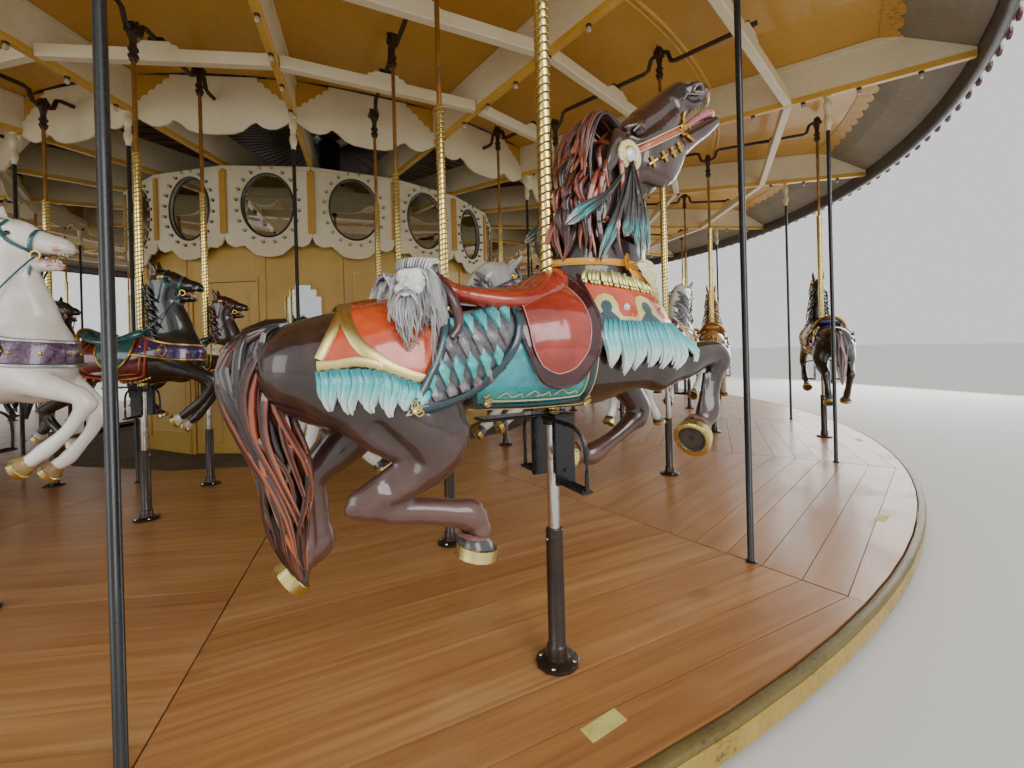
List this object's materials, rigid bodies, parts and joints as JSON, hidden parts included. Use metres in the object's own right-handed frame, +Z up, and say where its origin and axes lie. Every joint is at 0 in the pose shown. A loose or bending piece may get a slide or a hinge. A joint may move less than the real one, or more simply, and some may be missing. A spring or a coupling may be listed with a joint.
{
  "type": "fairground carousel",
  "caption": "Turning platform of carved jumping horses on brass poles, hung from radial sweeps around a mirrored drum and a panelled centre house, under a shallow round roof.",
  "frame": {"origin": "on the ground at the turning axis, the centre of the base's underside", "axes": "+Z up along the turning axis; +Y is the direction the picture looks"},
  "size_m": [15.5642, 15.5642, 4.73],
  "materials": {
    "varnished_boards": "glossy varnished planks",
    "gold_paint": "gold paint",
    "black_steel": "black gloss paint on steel",
    "cream_paint": "cream oil paint on boards",
    "ochre_paint": "ochre oil paint on boards",
    "tan_paint": "tan paint on boards",
    "dark_trim": "near-black trim paint",
    "red_trim": "red and white scalloped boards",
    "mirror_glass": "silvered mirror",
    "yellow_paint": "yellow oil paint on panelled boards",
    "dark_floor": "dark painted floor",
    "charger_lacquer": "mauve-brown lacquer over carved wood",
    "twisted_brass": "polished brass, rope-twisted",
    "carved_horses": "painted carved wood under clear lacquer"
  },
  "bodies": {
    "base": {"centre_floor": "dark_floor", "centre_post": "black_steel", "house_wall_right": "yellow_paint", "house_wall_back": "yellow_paint", "house_wall_left": "yellow_paint", "house_lintel": "yellow_paint"},
    "carousel": {"deck": "varnished_boards", "deck_rim": "gold_paint", "outer_rods": "black_steel", "inner_rods": "black_steel", "sweeps": "cream_paint", "cross_beams_1": "cream_paint", "cross_beams_2": "cream_paint", "cross_beams_3": "cream_paint", "cross_beams_4": "cream_paint", "ceiling": "ochre_paint", "cove": "tan_paint", "rim_ring": "dark_trim", "rounding_boards": "red_trim", "roof": "tan_paint", "drum_panels": "cream_paint", "drum_mirrors": "mirror_glass", "valance": "cream_paint", "crankshaft_bay1": "black_steel", "crankshaft_bay2": "black_steel", "crankshaft_bay3": "black_steel", "crankshaft_bay4": "black_steel", "horses_bay5": "carved_horses", "horses_bay6": "carved_horses", "horses_bay7": "carved_horses", "horses_bay8": "carved_horses", "horses_bay9": "carved_horses", "horses_bay10": "carved_horses", "horses_bay11": "carved_horses", "horses_bay12": "carved_horses", "horses_bay13": "carved_horses", "horses_bay14": "carved_horses", "horses_bay15": "carved_horses", "horses_bay16": "carved_horses", "horses_bay17": "carved_horses", "horses_bay18": "carved_horses"},
    "door_leaf": {"house_door": "yellow_paint"},
    "charger": {"charger_body": "charger_lacquer", "charger_pole": "twisted_brass", "charger_footrest": "black_steel"},
    "jumper_row2_bay2": {"jumper_row2_bay2": "carved_horses"},
    "jumper_row3_bay2": {"jumper_row3_bay2": "carved_horses"},
    "jumper_row4_bay2": {"jumper_row4_bay2": "carved_horses"},
    "jumper_row2_bay1": {"jumper_row2_bay1": "carved_horses"},
    "jumper_row3_bay1": {"jumper_row3_bay1": "carved_horses"},
    "jumper_row4_bay1": {"jumper_row4_bay1": "carved_horses"},
    "jumper_row2_bay3": {"jumper_row2_bay3": "carved_horses"},
    "jumper_row3_bay3": {"jumper_row3_bay3": "carved_horses"},
    "jumper_row4_bay3": {"jumper_row4_bay3": "carved_horses"},
    "jumper_row1_bay4": {"jumper_row1_bay4": "carved_horses"},
    "jumper_row2_bay4": {"jumper_row2_bay4": "carved_horses"},
    "jumper_row3_bay4": {"jumper_row3_bay4": "carved_horses"},
    "jumper_row4_bay4": {"jumper_row4_bay4": "carved_horses"}
  },
  "joints": [
    {"name": "carousel_turn", "type": "hinge", "parent": "base", "child": "carousel", "pos_m": [0, 0, 0], "axis": [0, 0, 1], "continuous": true},
    {"name": "door_hinge", "type": "hinge", "parent": "base", "child": "door_leaf", "pos_m": [0.10828, -2.44567, 1], "axis": [0, 0, -1], "range_deg": [0, 95]},
    {"name": "charger_rise", "type": "slide", "parent": "carousel", "child": "charger", "axis": [0, 0, 1], "range_m": [-0.15, 0.15]},
    {"name": "rise_row2_bay2", "type": "slide", "parent": "carousel", "child": "jumper_row2_bay2", "axis": [0, 0, 1], "range_m": [-0.15, 0.15]},
    {"name": "rise_row3_bay2", "type": "slide", "parent": "carousel", "child": "jumper_row3_bay2", "axis": [0, 0, 1], "range_m": [-0.15, 0.15]},
    {"name": "rise_row4_bay2", "type": "slide", "parent": "carousel", "child": "jumper_row4_bay2", "axis": [0, 0, 1], "range_m": [-0.15, 0.15]},
    {"name": "rise_row2_bay1", "type": "slide", "parent": "carousel", "child": "jumper_row2_bay1", "axis": [0, 0, 1], "range_m": [-0.15, 0.15]},
    {"name": "rise_row3_bay1", "type": "slide", "parent": "carousel", "child": "jumper_row3_bay1", "axis": [0, 0, 1], "range_m": [-0.15, 0.15]},
    {"name": "rise_row4_bay1", "type": "slide", "parent": "carousel", "child": "jumper_row4_bay1", "axis": [0, 0, 1], "range_m": [-0.15, 0.15]},
    {"name": "rise_row2_bay3", "type": "slide", "parent": "carousel", "child": "jumper_row2_bay3", "axis": [0, 0, 1], "range_m": [-0.15, 0.15]},
    {"name": "rise_row3_bay3", "type": "slide", "parent": "carousel", "child": "jumper_row3_bay3", "axis": [0, 0, 1], "range_m": [-0.15, 0.15]},
    {"name": "rise_row4_bay3", "type": "slide", "parent": "carousel", "child": "jumper_row4_bay3", "axis": [0, 0, 1], "range_m": [-0.15, 0.15]},
    {"name": "rise_row1_bay4", "type": "slide", "parent": "carousel", "child": "jumper_row1_bay4", "axis": [0, 0, 1], "range_m": [-0.15, 0.15]},
    {"name": "rise_row2_bay4", "type": "slide", "parent": "carousel", "child": "jumper_row2_bay4", "axis": [0, 0, 1], "range_m": [-0.15, 0.15]},
    {"name": "rise_row3_bay4", "type": "slide", "parent": "carousel", "child": "jumper_row3_bay4", "axis": [0, 0, 1], "range_m": [-0.15, 0.15]},
    {"name": "rise_row4_bay4", "type": "slide", "parent": "carousel", "child": "jumper_row4_bay4", "axis": [0, 0, 1], "range_m": [-0.15, 0.15]}
  ],
  "couplings": [
    {"joint": "rise_row2_bay2", "follows": "charger_rise", "ratio": -1},
    {"joint": "rise_row4_bay2", "follows": "rise_row3_bay2", "ratio": -1},
    {"joint": "rise_row2_bay1", "follows": "charger_rise", "ratio": -1},
    {"joint": "rise_row3_bay1", "follows": "rise_row3_bay2", "ratio": 1},
    {"joint": "rise_row4_bay1", "follows": "rise_row3_bay2", "ratio": -1},
    {"joint": "rise_row2_bay3", "follows": "charger_rise", "ratio": 1},
    {"joint": "rise_row3_bay3", "follows": "rise_row3_bay2", "ratio": 1},
    {"joint": "rise_row4_bay3", "follows": "rise_row3_bay2", "ratio": -1},
    {"joint": "rise_row1_bay4", "follows": "charger_rise", "ratio": 1},
    {"joint": "rise_row2_bay4", "follows": "charger_rise", "ratio": -1},
    {"joint": "rise_row3_bay4", "follows": "rise_row3_bay2", "ratio": 1},
    {"joint": "rise_row4_bay4", "follows": "rise_row3_bay2", "ratio": -1}
  ]
}
